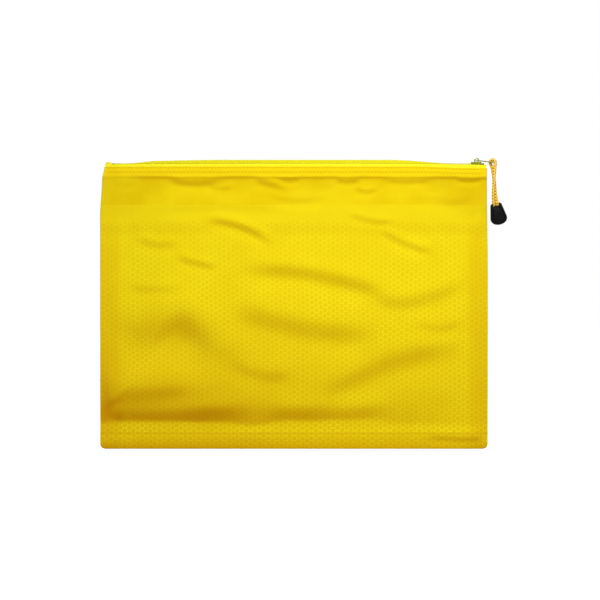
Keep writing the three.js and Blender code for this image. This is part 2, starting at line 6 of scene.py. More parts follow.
import bpy
import numpy as np
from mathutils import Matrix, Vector


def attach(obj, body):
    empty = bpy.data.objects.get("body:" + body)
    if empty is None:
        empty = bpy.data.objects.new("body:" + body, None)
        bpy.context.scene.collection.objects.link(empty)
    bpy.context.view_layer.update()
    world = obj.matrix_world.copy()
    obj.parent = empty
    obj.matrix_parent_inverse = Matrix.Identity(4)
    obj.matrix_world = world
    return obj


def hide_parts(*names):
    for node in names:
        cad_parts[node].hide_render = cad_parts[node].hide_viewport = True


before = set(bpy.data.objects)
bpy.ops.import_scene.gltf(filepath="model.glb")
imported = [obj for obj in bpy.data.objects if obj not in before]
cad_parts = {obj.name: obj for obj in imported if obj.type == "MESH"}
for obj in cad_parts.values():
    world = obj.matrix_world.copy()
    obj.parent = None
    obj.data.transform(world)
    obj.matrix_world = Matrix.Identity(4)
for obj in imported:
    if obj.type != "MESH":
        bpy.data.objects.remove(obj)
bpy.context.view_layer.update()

MM = 0.001
FRONT, BACK = -1, 1

# Sizes of the solid model, in millimetres
HALF_WIDTH = 167.5
SHEET = 0.4
LAYER_GAP = 0.3
SIDE_ALLOWANCE = 15.5
BOTTOM_ALLOWANCE = 13.5
MESH_HEIGHT = 211.0
STRIP_BOTTOM = 197.3
STRIP_TOP = 243.3
BOTTOM_CORNER = 4.3
SEAM_DEPTH = 0.85
HALF_HOLLOW = 4.6
MOUTH_RISE = 21.0
MOUTH_HALF_DEPTH = 5.25
CORNER_HALF_DEPTH = 3.5
ALLOWANCE_MIDDLE = 0.35
TAPE = 0.5
TAPE_BOTTOM = 235.0
TAPE_TOP = 245.4
TAPE_BEND = 0.9
TAPE_EDGE = 1.0
TAPE_END = 166.8
CHAIN_LEFT, CHAIN_RIGHT = -154.6, 161.45
CHAIN_BOTTOM = 245.6
CHAIN_HALF_HEIGHT = 0.6
CHAIN_SPREAD = 1.2
SPREAD_START, SPREAD_END = 156.0, 159.0
STOPS_END = 164.1
CORD_DIAMETER = 2.8

# Sizes of the looks alone, in millimetres: the sheets are slacker than the solid ones
SIDE_SWELL = 48.0
BOTTOM_BAND = 21.5
CORNER_PINCH = 20.0
TAPE_SWELL = 1.1
COIL_PITCH = 1.3
COIL_WIRE = 0.24
PLAIT_PITCH = 5.2
NET_PITCH_ACROSS, NET_PITCH_UP = 7.5, 4.5

# Strands of the cord that go each way round
PLAIT_TURNS = 4

# Stitches: the pitch, half the size of one (along, through, up), and the room left at each end
STITCH_PITCH = 3.1
STITCH_HALF = (1.28, 0.2, 0.24)
STITCH_INSET = 3.5
# Each row's height, its shift along the bag, how deep it puckers the strip, and its name
STITCH_ROWS = ((242.2, 0.0, 0.36, "upper"), (238.5, 1.55, 0.22, "lower"))


# ---- camera


def add_camera():
    """Square on to the front, from the height of the middle of the picture."""
    bpy.ops.object.camera_add(location=(0.0052, -1.729, 0.1286), rotation=(math.pi / 2, 0, 0))
    camera = bpy.context.object
    camera.data.lens = 120
    camera.data.sensor_width = 36
    camera.data.clip_end = 30
    bpy.context.scene.camera = camera


add_camera()


# ---- helpers for pieces


def pick_none():
    for o in bpy.context.selected_objects:
        o.select_set(False)


def make_active(piece):
    pick_none()
    piece.select_set(True)
    bpy.context.view_layer.objects.active = piece


def points_of(piece):
    flat = np.empty(len(piece.data.vertices) * 3)
    piece.data.vertices.foreach_get("co", flat)
    return flat.reshape(-1, 3)


def set_points(piece, points):
    piece.data.vertices.foreach_set("co", np.ascontiguousarray(points, dtype=float).ravel())
    piece.data.update()


def apply_modifier(piece, kind, **settings):
    make_active(piece)
    modifier = piece.modifiers.new(kind.title(), kind)
    for name, value in settings.items():
        setattr(modifier, name, value)
    bpy.ops.object.modifier_apply(modifier=modifier.name)


def smooth(piece, degrees=40):
    make_active(piece)
    bpy.ops.object.shade_smooth_by_angle(angle=math.radians(degrees))


def face_outwards(piece):
    make_active(piece)
    bpy.ops.object.mode_set(mode="EDIT")
    bpy.ops.mesh.select_all(action="SELECT")
    bpy.ops.mesh.normals_make_consistent(inside=False)
    bpy.ops.object.mode_set(mode="OBJECT")


def repeat_along(piece, count, pitch):
    """Copies of the piece in a row along the bag, joined as one mesh."""
    apply_modifier(
        piece,
        "ARRAY",
        count=count,
        use_relative_offset=False,
        use_constant_offset=True,
        constant_offset_displace=(pitch * MM, 0, 0),
    )


def dress(piece, material, body, slot, *nodes):
    """Gives a finished piece its material and its body, and hides the nodes it stands for. The slot
    is not used.
    """
    piece.data.materials.clear()
    piece.data.materials.append(material)
    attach(piece, body)
    if nodes:
        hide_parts(*nodes)
    return piece


def add_cloth_grid(name, columns, rows):
    """A grid with that many points each way. Returns it and each point's column and row."""
    pick_none()
    bpy.ops.mesh.primitive_grid_add(x_subdivisions=columns - 1, y_subdivisions=rows - 1, size=2)
    piece = bpy.context.object
    piece.name = piece.data.name = name
    flat = points_of(piece)
    column = np.rint((flat[:, 0] + 1) / 2 * (columns - 1)).astype(int)
    row = np.rint((flat[:, 1] + 1) / 2 * (rows - 1)).astype(int)
    return piece, column, row


def delete_faces(piece, chosen):
    make_active(piece)
    bpy.ops.object.mode_set(mode="EDIT")
    bpy.ops.mesh.select_mode(type="FACE")
    bpy.ops.mesh.select_all(action="DESELECT")
    bpy.ops.object.mode_set(mode="OBJECT")
    piece.data.polygons.foreach_set("select", chosen)
    bpy.ops.object.mode_set(mode="EDIT")
    bpy.ops.mesh.delete(type="FACE")
    bpy.ops.object.mode_set(mode="OBJECT")


# ---- the form of the filled bag


def ease(t):
    """A smooth step from 0 to 1."""
    t = np.clip(t, 0, 1)
    return t * t * (3 - 2 * t)


def hollow(x, z):
    """From the bag's middle plane to the inner face of its outermost single layer."""
    inward = HALF_WIDTH - np.abs(x)
    # The bag is fuller at its lower left, and swells nearer to its seams there
    low_left = ease((90 - z) / 50) * ease(-x / 40)
    billow = 1.7 * np.exp(-(((z - 55) / 21) ** 2)) * ease((-x - 20) / 70) * ease((x + 168) / 9)
    sides = ease((inward - SIDE_ALLOWANCE + 14 * low_left) / (SIDE_SWELL - 33 * low_left))
    bottom_swell = 14 + 13 * ease((x - 40) / 70)
    above_band = np.maximum(z - BOTTOM_BAND + 2 * low_left, 0)
    bottom = 1 - np.exp(-above_band / bottom_swell)
    body = SEAM_DEPTH + (HALF_HOLLOW - SEAM_DEPTH) * sides * bottom
    # The sheet stands out a little over the bottom allowance
    body = body + billow + 0.8 * np.exp(-(((z - 11.5) / 6) ** 2)) * ease(inward / 12)
    rise = MOUTH_RISE + 28 * (1 - sides)
    mouth = ease((z - STRIP_TOP + rise) / rise)
    pinch = ease(inward / CORNER_PINCH)
    corner = CORNER_HALF_DEPTH + (MOUTH_HALF_DEPTH - CORNER_HALF_DEPTH) * pinch
    return body + (corner - body) * mouth


# Creases: three points (x, z) along each, how far it stands out above its line, and its width
FRONT_CREASES = [
    ([(-56, 154), (22, 149), (96, 126)], 1.0, 7.6),
    ([(58, 130), (106, 127.5), (160, 150)], 0.65, 7.4),
    ([(-80, 197), (-47, 192), (-14, 173)], 0.6, 3.9),
    ([(-66, 124), (5, 104.5), (92, 95)], 1.45, 12.0),
    ([(10, 34), (78, 72.5), (158, 88)], 1.3, 11.0),
    ([(-156, 92), (-114, 103), (-72, 112)], 1.5, 17.0),
    ([(-112, 118), (-84, 98), (-56, 64)], 1.7, 17.0),
    ([(-230, 29), (-118, 27.5), (-20, 34)], 1.1, 8.0),
    ([(-40, 33), (24, 30), (100, 36)], 0.8, 8.0),
    ([(-205, 50), (-138, 45), (-70, 56)], 1.2, 11.0),
    ([(-168, 27), (-161, 36), (-148, 47)], 0.3, 3.4),
    ([(-164, 17), (-148, 15), (-132, 17.5)], 0.25, 2.2),
    ([(-158, 230), (-146, 228.5), (-134, 230)], 0.1, 2.8),
    ([(-112, 233.5), (-86, 229), (-56, 233)], 0.55, 3.2),
    ([(-76, 226.5), (-63, 224.5), (-50, 226.5)], 0.25, 2.4),
    ([(-36, 231.5), (-20, 228), (-4, 222)], 0.45, 3.2),
    ([(-16, 233.5), (-4, 232), (6, 233.5)], 0.4, 2.4),
    ([(34, 233), (46, 230.5), (58, 233)], 0.4, 2.6),
    ([(-22, 224), (-3, 214.5), (36, 218)], 0.26, 3.4),
    ([(50, 226), (62, 222), (74, 225)], 0.3, 2.2),
    ([(74, 232), (98, 230.5), (124, 232)], 0.28, 2.2),
    ([(138, 233.5), (151, 231.8), (165, 233.5)], 0.4, 2.2),
    ([(72, 190), (96, 177), (124, 168)], 0.45, 3.6),
    ([(44, 204), (66, 197), (90, 196)], 0.32, 3.0),
    ([(-104, 167), (-84, 160), (-62, 156)], 0.45, 3.8),
    ([(-147, 140), (-120, 137.5), (-92, 140)], 0.4, 4.2),
    ([(-140, 184), (-118, 176), (-98, 180)], 0.35, 4.0),
    ([(-60, 80), (-30, 64), (4, 66)], 0.6, 7.0),
    ([(100, 112), (124, 104), (150, 112)], 0.5, 5.0),
    ([(161, 200), (158.5, 100), (160, 14)], 1.1, 4.2),
    ([(157, 204), (156, 192), (158, 176)], 0.45, 2.6),
    ([(110, 12), (142, 7.5), (172, 9)], 0.55, 4.5),
    ([(-130, 206), (-60, 208), (0, 205)], 0.2, 4.0),
    ([(94, 222), (130, 213), (156, 218)], 0.18, 4.0),
]
BACK_CREASES = [
    ([(-120, 60), (-40, 78), (60, 70)], 0.9, 7.5),
    ([(-90, 150), (-20, 132), (70, 140)], 0.8, 5.0),
    ([(20, 176), (74, 168), (130, 182)], 0.6, 4.5),
    ([(-140, 182), (-108, 172), (-70, 176)], 0.5, 4.0),
    ([(-150, 110), (-118, 96), (-84, 104)], 0.7, 7.0),
    ([(60, 104), (100, 112), (146, 96)], 0.7, 6.0),
    ([(-160, 37), (0, 34), (160, 38)], 0.7, 9.0),
    ([(-110, 232), (-60, 230.5), (-12, 232)], 0.3, 2.6),
    ([(30, 232), (70, 230.5), (118, 232)], 0.3, 2.6),
    ([(-40, 222), (0, 214), (46, 220)], 0.25, 3.0),
    ([(-158, 150), (-157, 100), (-158, 50)], 0.3, 4.0),
]


def crease_height(x, z, crease):
    """How far one crease pushes the sheet outwards: out above its line and in below it."""
    (start, middle, end), push, width = crease
    end_fade = 0.28
    start, middle, end = (np.array(p, float) for p in (start, middle, end))
    control = 2 * middle - (start + end) / 2
    t = np.linspace(0, 1, 17)[:, None]
    line = (1 - t) ** 2 * start + 2 * t * (1 - t) * control + t**2 * end
    height = np.zeros_like(x)
    nearest = np.full_like(x, 1e9)
    for i in range(len(line) - 1):
        step = line[i + 1] - line[i]
        length = math.hypot(*step)
        along, up = step / length, np.array((-step[1], step[0])) / length
        dx, dz = x - line[i][0], z - line[i][1]
        run = dx * along[0] + dz * along[1]
        over = run - np.clip(run, 0, length)
        side = dx * up[0] + dz * up[1]
        reach = over**2 + side**2
        share = (i + np.clip(run / length, 0, 1)) / (len(line) - 1)
        fade = ease(share / end_fade) * ease((1 - share) / end_fade)
        swell = side / width * np.exp(0.5 - side**2 / (2 * width**2))
        value = push * swell * fade * np.exp(-(over**2) / (2 * width**2))
        closer = reach < nearest
        nearest[closer] = reach[closer]
        height[closer] = value[closer]
    return height


def wrinkles(x, z, creases):
    """All creases and the sheet's slack, up to the tape, which keeps the strip flat."""
    flat_from, fade_over = 236.6, 2.4
    total = np.zeros_like(x)
    for crease in creases:
        total += crease_height(x, z, crease)
    slack = 0.16 * np.sin(x / 23 + z / 31) * np.sin(z / 19 - x / 47 + 1.3)
    slack += 0.07 * np.sin(x / 9.5 - z / 14 + 0.6) * np.sin(z / 8.3 + x / 29)
    free = ease((HALF_WIDTH - np.abs(x)) / 10) * ease(z / 8)
    return (total + slack * ease((z - 12) / 30)) * free * ease((flat_from - z) / fade_over)


def mark_painted_shade(piece, depth):
    """Keeps on each point the shade painted into its film: on fold flanks that lean over, low down,
    to the left, beside the seams and along the bottom.
    """
    x, _, z = (points_of(piece) / MM).T
    half_step = 0.8
    lean = (depth(x, z + half_step) - depth(x, z - half_step)) / (2 * half_step)
    lean = lean * (1 - 0.6 * ease((-x - 110) / 45) * ease((z - 190) / 12))
    # Painted shade, darker towards the bottom and towards the left
    lower_shade = ease((165 - z) / 150) * (0.5 + 0.5 * ease((60 - x) / 150))
    lower_shade = lower_shade * (1 - 0.4 * ease((25 - z) / 6) * ease((z - 4) / 6))
    # Painted shade beside the side seams
    beside = 0.2 * ease((np.abs(x) - 145) / 16) * ease((225 - z) / 60)
    # Painted shade low down on the left, most of all near the seam
    near_seam = 0.22 * ease((-x - 144) / 12) + 0.32 * ease((-x - 155) / 8)
    low_left_amount = 0.1 + near_seam * ease((54 - z) / 22)
    low_left_shade = low_left_amount * ease((72 - z) / 26) * ease((z - 21) / 4) * ease((10 - x) / 110)
    # Painted shade along the bottom edge
    hem = 0.5 * ease((7 - z) / 7)
    # All the shade painted into the film: fold flanks that face downwards, and the parts above
    painted_shade = 0.6 * ease((lean + 0.04) / 0.42) + 0.5 * lower_shade + beside + low_left_shade + hem
    piece.data.attributes.new("painted_shade", "FLOAT", "POINT").data.foreach_set("value", painted_shade)


def at_stop(x):
    """1 where the slider stops at the zip's open end, and 0 away from there."""
    return 1 - np.maximum(ease((x + 144) / 24), ease((-155.5 - x) / 10))


def bow(x):
    """Share of the mouth's rise: full in its middle, less where the slider stops."""
    return ease((162 - x) / 80) * (0.7 + 0.3 * ease((x + 160) / 100)) * (1 - 0.5 * at_stop(x))


def outline_shift(x, z):
    """The seams draw in a little towards the ends of the zip."""
    left = (1.9 * ease((z - 200) / 36) + 2.1 * ease((z - 232) / 13)) * ease((-x - 150) / 17.5)
    right = 0.9 * ease((z - 150) / 90) * ease((x - 150) / 17.5)
    return x + left - right


def mouth_lift(x, z, side):
    """How far the top of the bag stands above its level at the ends of the zip."""
    lift = 0.1 if side == FRONT else 4.3
    # The front edge hangs lower near the closed slider
    dip = 1.3 * ease((x - 104) / 50) * ease((z - 228) / 12) if side == FRONT else 0
    return lift * bow(x) * ease((z - 224) / 19) - dip


def round_corners(x, z):
    """Bends the square bottom corners of a sheet to a round outline."""
    r = BOTTOM_CORNER
    dx, dz = np.abs(x) - (HALF_WIDTH - r), r - z
    inside = (dx > 0) & (dz > 0)
    far = np.where(inside, np.maximum(np.hypot(dx, dz), 1e-9), 1)
    scale = np.where(inside, np.maximum(dx, dz) / far, 1)
    x = np.where(inside, np.sign(x) * (HALF_WIDTH - r + dx * scale), x)
    return x, np.where(inside, r - dz * scale, z)


def fold_stations(edge, allowance):
    """Points over a folded edge as (place, layer), inner layer first, and where its face starts."""
    reach = 0.55
    crest = edge - SHEET / 2 - reach
    inner = [(crest - t, -1.0) for t in np.linspace(allowance - reach, 0.8, 5)]
    arc = [(crest + reach * math.sin(a), -math.cos(a)) for a in np.linspace(0, math.pi, 7)]
    return inner + arc, crest


def hang_sheet(name, side, stations_x, stations_z, depth):
    """A thin sheet over the stations, whose folded edges run on behind its face."""
    piece, column, row = add_cloth_grid(name, len(stations_x), len(stations_z))
    place_x, layer_x = np.array(stations_x)[column].T
    place_z, layer_z = np.array(stations_z)[row].T
    layer = np.minimum(layer_x, layer_z)
    outer = depth(place_x, place_z) + SHEET / 2
    y = (outer + ALLOWANCE_MIDDLE) / 2 + layer * (outer - ALLOWANCE_MIDDLE) / 2
    x, z = round_corners(place_x, place_z)
    z = z + mouth_lift(place_x, place_z, side)
    set_points(piece, np.stack([outline_shift(x, z), side * y, z], axis=1) * MM)
    twice = (layer_x < 0) & (layer_z < 0)
    delete_faces(piece, [all(twice[v] for v in p.vertices) for p in piece.data.polygons])
    apply_modifier(piece, "SOLIDIFY", thickness=SHEET * MM, offset=0)
    smooth(piece)
    mark_painted_shade(piece, depth)
    return piece


def across(step):
    """Stations along the width: allowance, fold, face, fold, allowance."""
    fold, crest = fold_stations(HALF_WIDTH, SIDE_ALLOWANCE)
    count = round(2 * crest / step)
    face = [(x, 1.0) for x in np.linspace(-crest, crest, count + 1)[1:-1]]
    return [(-x, layer) for x, layer in fold] + face + fold[::-1]


def mesh_sheet(name, side, creases):
    """The large sheet, which laps over the strip and rests on its own folded edges."""
    fold, crest = fold_stations(0, BOTTOM_ALLOWANCE)
    low = [(-x, layer) for x, layer in fold]
    heights = np.linspace(-crest, MESH_HEIGHT, 135)
    stations_z = low + [(z, 1.0) for z in heights[1:]]

    def depth(x, z):
        lapped = ease((z - STRIP_BOTTOM + 14.2) / 14.0)
        clear = hollow(x, z) + wrinkles(x, z, creases) - SEAM_DEPTH
        rested = SEAM_DEPTH + (clear + np.sqrt(clear**2 + 0.09)) / 2
        return rested + (SHEET + LAYER_GAP) * lapped

    return hang_sheet(name, side, across(1.6), stations_z, depth)


def strip_swell(x, z):
    """The plain strip stands out over the zip tape behind it, and puckers at the stitches."""
    slow, quick = (np.clip((z - TAPE_BOTTOM) / run + 1, 0, 1) ** 2 for run in (16, 3.4))
    over_tape = TAPE_SWELL * (0.45 * slow + 0.55 * quick * (0.4 + 0.6 * ease((x + 165) / 60)))
    pucker = 0.0
    for height, shift, depth, _ in STITCH_ROWS:
        wave = np.cos(np.pi * (x + shift) / STITCH_PITCH) ** 2
        pucker = pucker + depth * (0.25 + 0.75 * wave) * np.exp(-(((z - height) / 0.7) ** 2))
    return over_tape - pucker


def strip_face(x, z, creases):
    """From the bag's middle plane to the inner face of the plain strip."""
    return hollow(x, z) + wrinkles(x, z, creases) + strip_swell(x, z)


def plain_strip(name, side, face):
    """The strip along the top, with closer rows of points where it is stitched."""
    stations_z = [(z, 1.0) for z in np.linspace(STRIP_BOTTOM, 232, 20)]
    stations_z += [(z, 1.0) for z in np.linspace(232.6, STRIP_TOP, 24)]
    return hang_sheet(name, side, across(0.8), stations_z, face)


# ---- zip tapes, chain and threads


def chain_spread(x):
    """How far each half of the chain stands off the middle: parted inside the slider."""
    parted = ease((x - SPREAD_START) / (SPREAD_END - SPREAD_START))
    closing = ease((x - STOPS_END) / (HALF_WIDTH - STOPS_END))
    return CHAIN_SPREAD * (parted - closing / 2)


def chain_lift(x):
    """How far the chain rises with the mouth, except where the slider stops."""
    return 0.5 * bow(x) * (1 - at_stop(x))


def zip_tape(name, side):
    """Woven tape: a leg behind the strip, a bend at its top, and a run in to the chain."""
    leg_rows, bend_rows, run_rows = 7, 5, 5
    bend_end = leg_rows + bend_rows
    xs = np.linspace(-TAPE_END, TAPE_END, 260)
    piece, column, row = add_cloth_grid(name, len(xs), bend_end + run_rows + 1)
    x = xs[column]
    on_leg = row <= leg_rows

    wall = hollow(x, np.full_like(x, STRIP_TOP)) - LAYER_GAP - TAPE / 2
    leg_height = TAPE_TOP - TAPE_BEND - TAPE_BOTTOM
    leg_z = TAPE_BOTTOM + leg_height * np.clip(row / leg_rows, 0, 1)
    leg_y = hollow(x, leg_z) - LAYER_GAP - TAPE / 2 + TAPE_SWELL
    leg_y = np.where(leg_z < STRIP_TOP, leg_y, wall + TAPE_SWELL)

    angle = np.clip((row - leg_rows) / bend_rows, 0, 1) * math.pi / 2
    radius = TAPE_BEND - TAPE / 2
    bend_y = wall + TAPE_SWELL - radius + radius * np.cos(angle)
    bend_z = TAPE_TOP - TAPE_BEND + radius * np.sin(angle)

    run = np.clip((row - bend_end) / run_rows, 0, 1)
    edge = TAPE_EDGE + chain_spread(x)
    run_y = bend_y + (edge - bend_y) * run
    y = np.where(on_leg, leg_y, np.where(row <= bend_end, bend_y, run_y))
    z = np.where(on_leg, leg_z, bend_z)

    ridge = (0.7 if side == FRONT else 4.8) * bow(x)
    level = chain_lift(x)
    # The rise to the ridge is kept to the tape's outer part, beside the slider
    ridge_share = ease((y - 3.5) / 1.3)
    leg_lift = ridge * np.clip((leg_z - 226) / 18.5, 0, 1)
    lift = np.where(on_leg, leg_lift, level + (ridge - level) * ridge_share)
    if side == FRONT:
        # Its outer edge dips at the bag's right end
        lift = lift - 1.5 * np.exp(-(((x - 165.6) / 2.0) ** 2)) * ease((y - 2.4) / 1.6)
    set_points(piece, np.stack([outline_shift(x, z), side * y, z + lift], axis=1) * MM)
    apply_modifier(piece, "SOLIDIFY", thickness=(TAPE - 0.06) * MM, offset=0)
    smooth(piece, 50)
    return piece


def zip_coil(name, side, phase):
    """One half of the chain: turns of stiff thread along the tape's edge."""
    tip, root = 0.3, -1.6
    slant = 0.28
    reach = (tip - root) / 2 - COIL_WIRE
    rise = CHAIN_HALF_HEIGHT - COIL_WIRE
    first_x = CHAIN_LEFT + COIL_PITCH * (0.5 + phase)
    middle = Vector((first_x, side * -(tip + root) / 2, CHAIN_BOTTOM + CHAIN_HALF_HEIGHT))
    pick_none()
    bpy.ops.mesh.primitive_torus_add(
        major_segments=12,
        minor_segments=5,
        major_radius=reach * MM,
        minor_radius=COIL_WIRE * MM,
    )
    coil = bpy.context.object
    coil.name = coil.data.name = name

    # One turn, stood on edge and squashed to the chain's height
    p = points_of(coil) / MM
    angle = np.arctan2(p[:, 1], p[:, 0])
    out = np.hypot(p[:, 0], p[:, 1]) - reach
    y = (reach + out) * np.cos(angle)
    z = (rise + out) * np.sin(angle)
    x = p[:, 2] + slant * np.sin(angle) * (rise / reach)
    set_points(coil, np.stack([x + middle.x, y + middle.y, z + middle.z], axis=1) * MM)
    face_outwards(coil)

    count = int((CHAIN_RIGHT - CHAIN_LEFT) / COIL_PITCH - phase - 0.2)
    repeat_along(coil, count, COIL_PITCH)
    p = points_of(coil) / MM
    p[:, 1] += side * chain_spread(p[:, 0])
    p[:, 2] += chain_lift(p[:, 0])
    set_points(coil, p * MM)
    smooth(coil, 60)
    return coil


def stitch_row(name, side, z0, shift, surface):
    """A row of thread stitches lying on a sheet."""
    half_length = STITCH_HALF[0]
    pick_none()
    bpy.ops.mesh.primitive_uv_sphere_add(segments=6, ring_count=6, radius=1)
    row = bpy.context.object
    row.name = row.data.name = name
    make_active(row)
    bpy.ops.object.mode_set(mode="EDIT")
    bpy.ops.mesh.select_all(action="SELECT")
    bpy.ops.transform.rotate(value=math.pi / 2, orient_axis="Y", center_override=(0, 0, 0))
    bpy.ops.object.mode_set(mode="OBJECT")

    first = -HALF_WIDTH + STITCH_INSET + shift
    p = points_of(row) * STITCH_HALF
    p[:, 0] += first
    set_points(row, p * MM)
    repeat_along(row, int((HALF_WIDTH - STITCH_INSET - first) / STITCH_PITCH), STITCH_PITCH)

    p = points_of(row) / MM
    x = p[:, 0]
    z = np.full_like(x, z0)
    # Each stitch is sunk at both its ends, where the thread goes through the sheet
    from_middle = np.mod(x - first + STITCH_PITCH / 2, STITCH_PITCH) - STITCH_PITCH / 2
    sunk = 0.16 * (from_middle / half_length) ** 2
    y = surface(x, z) + SHEET + 0.06 - sunk + p[:, 1]
    height = z0 + p[:, 2] + mouth_lift(x, z, side)
    set_points(row, np.stack([outline_shift(x, height), side * y, height], axis=1) * MM)
    face_outwards(row)
    smooth(row, 80)
    return row


def softened(node, name, width):
    """A copy of a hard CAD piece with its edges rounded over."""
    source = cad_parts[node]
    piece = bpy.data.objects.new(name, source.data.copy())
    piece.data.name = name
    bpy.context.scene.collection.objects.link(piece)
    make_active(piece)
    bpy.ops.object.mode_set(mode="EDIT")
    bpy.ops.mesh.select_all(action="SELECT")
    bpy.ops.mesh.remove_doubles(threshold=0.004 * MM)
    bpy.ops.mesh.dissolve_limited(angle_limit=math.radians(4))
    bpy.ops.object.mode_set(mode="OBJECT")
    apply_modifier(
        piece,
        "BEVEL",
        width=width * MM,
        segments=2,
        limit_method="ANGLE",
        angle_limit=math.radians(32),
        use_clamp_overlap=True,
    )
    smooth(piece, 35)
    return piece


def hard_piece(node, name, width, material, body, slot):
    """A softened piece, dressed to stand for the node it is a copy of."""
    return dress(softened(node, name, width), material, body, slot, node)


# ---- the pull cord

# Along its middle, from one end up over the tab's bar and down to the other end
CORD_ROUTE = [
    (172.9, -8.9, 205.5),
    (172.1, -8.9, 209.3),
    (171.4, -9.6, 219),
    (171.9, -9.0, 228),
    (172.3, -8.1, 236),
    (173.0, -6.9, 242.4),
    (173.37, -5.66, 247.23),
    (172.76, -5.44, 248.79),
    (171.3, -4.91, 249.43),
    (169.84, -4.38, 248.79),
    (169.23, -4.16, 247.23),
    (171.0, -3.9, 242.4),
    (172.0, -4.6, 236),
    (172.9, -5.6, 228),
    (173.6, -7.4, 219),
    (175.1, -8.9, 209.9),
    (175.9, -8.9, 206.1),
]


def curve_through(points, per_span):
    """A centripetal curve through the points, as the part's source draws it."""
    p = [Vector(q) for q in points]
    p = [p[0] * 2 - p[1]] + p + [p[-1] * 2 - p[-2]]
    line = []
    for i in range(1, len(p) - 2):
        a, b, c, d = p[i - 1 : i + 3]
        t1 = math.sqrt((b - a).length)
        t2 = t1 + math.sqrt((c - b).length)
        t3 = t2 + math.sqrt((d - c).length)
        for k in range(per_span):
            t = t1 + (t2 - t1) * k / per_span
            ab = a.lerp(b, t / t1)
            bc = b.lerp(c, (t - t1) / (t2 - t1))
            cd = c.lerp(d, (t - t2) / (t3 - t2))
            abc = ab.lerp(bc, t / t2)
            bcd = bc.lerp(cd, (t - t1) / (t3 - t1))
            line.append(abc.lerp(bcd, (t - t1) / (t2 - t1)))
    return line + [p[-2]]


def evenly(line, count):
    """That many points at equal distances along the line, and its length."""
    steps = np.array([(b - a).length for a, b in zip(line, line[1:])])
    along = np.concatenate([[0], np.cumsum(steps)])
    co = np.array(line)
    want = np.linspace(0, along[-1], count)
    return np.stack([np.interp(want, along, co[:, k]) for k in range(3)], axis=1), along[-1]


def plait(angle, along):
    """Height of the plait, 0 to 1: strands cross over and under in both directions."""
    one = PLAIT_TURNS * (angle / (2 * math.pi)) + PLAIT_TURNS * along / PLAIT_PITCH
    two = PLAIT_TURNS * (angle / (2 * math.pi)) - PLAIT_TURNS * along / PLAIT_PITCH
    a, b = np.abs(np.sin(math.pi * one)), np.abs(np.sin(math.pi * two))
    first = np.mod(np.floor(one) + np.floor(two), 2) == 0
    first_over = 0.35 + 0.65 * a * (0.6 + 0.4 * b)
    second_over = 0.35 + 0.65 * b * (0.6 + 0.4 * a)
    return np.where(first, first_over, second_over) * np.minimum(1, 0.35 + a * b * 2)


def braided_cord(name):
    """A round cord of plaited strands, four each way round, whose relief follows the plait."""
    around, rings = 37, 300
    line, length = evenly(curve_through(CORD_ROUTE, 10), rings)

    # A frame that goes along the line without twisting
    tangent = np.gradient(line, axis=0)
    tangent /= np.linalg.norm(tangent, axis=1)[:, None]
    right = np.empty_like(line)
    right[0] = np.cross(tangent[0], (0, 1, 0))
    for i in range(1, len(line)):
        right[i] = right[i - 1] - tangent[i] * np.dot(right[i - 1], tangent[i])
        right[i] /= np.linalg.norm(right[i])
    right[0] /= np.linalg.norm(right[0])
    up = np.cross(tangent, right)

    piece, column, row = add_cloth_grid(name, around, rings)
    angle = 2 * math.pi * column / (around - 1)
    along = row / (rings - 1) * length
    over = plait(angle, along)
    # Both ends are drawn thin where they are held inside the moulded end
    inside_end = ease((5 - np.minimum(along, length - along)) / 2)
    valley = CORD_DIAMETER / 2 - 0.17
    radius = valley + 0.2 * over - 0.22 * inside_end
    ring = np.cos(angle)[:, None] * right[row] + np.sin(angle)[:, None] * up[row]
    set_points(piece, (line[row] + radius[:, None] * ring) * MM)

    # Its long edges are joined and its ends are closed
    make_active(piece)
    bpy.ops.object.mode_set(mode="EDIT")
    bpy.ops.mesh.select_all(action="SELECT")
    bpy.ops.mesh.remove_doubles(threshold=0.001 * MM)
    bpy.ops.mesh.select_all(action="DESELECT")
    bpy.ops.mesh.select_mode(type="EDGE")
    bpy.ops.mesh.select_non_manifold()
    bpy.ops.mesh.edge_face_add()
    bpy.ops.object.mode_set(mode="OBJECT")
    face_outwards(piece)
    smooth(piece, 70)
    return piece, line * MM, length * MM


# ---- materials


def feed(tree, socket, value):
    """Links a node's output to the socket, or sets the socket to a plain value."""
    if isinstance(value, bpy.types.NodeSocket):
        tree.links.new(value, socket)
    else:
        socket.default_value = value


def add(tree, kind, inputs=None, **settings):
    node = tree.nodes.new("ShaderNode" + kind)
    for name, value in settings.items():
        setattr(node, name, value)
    for name, value in (inputs or {}).items():
        feed(tree, node.inputs[name], value)
    return node


def calc(tree, operation, *values):
    node = add(tree, "Math", operation=operation)
    for i, value in enumerate(values):
        feed(tree, node.inputs[i], value)
    return node.outputs[0]


def times(tree, a, b):
    return calc(tree, "MULTIPLY", a, b)


def ramp(tree, value, low, high, out_low=0.0, out_high=1.0):
    node = add(
        tree,
        "MapRange",
        {0: value, 1: low, 2: high, 3: out_low, 4: out_high},
        interpolation_type="SMOOTHSTEP",
    )
    return node.outputs[0]


def mix(tree, share, a, b):
    """Colour a, with that share of colour b."""
    share_input, a_input, b_input = 0, 6, 7
    node = add(tree, "Mix", {share_input: share}, data_type="RGBA")
    feed(tree, node.inputs[a_input], a)
    feed(tree, node.inputs[b_input], b)
    return node.outputs[2]


def noise(tree, where, scale, detail, roughness=0.5):
    inputs = {"Vector": where, "Scale": scale, "Detail": detail, "Roughness": roughness}
    return add(tree, "TexNoise", inputs).outputs[0]


def colour(text):
    """A colour written as it renders, such as e1c20e."""

    def linear(v):
        return v / 12.92 if v <= 0.04045 else ((v + 0.055) / 1.055) ** 2.4

    return tuple(linear(int(text[i : i + 2], 16) / 255) for i in (0, 2, 4)) + (1.0,)


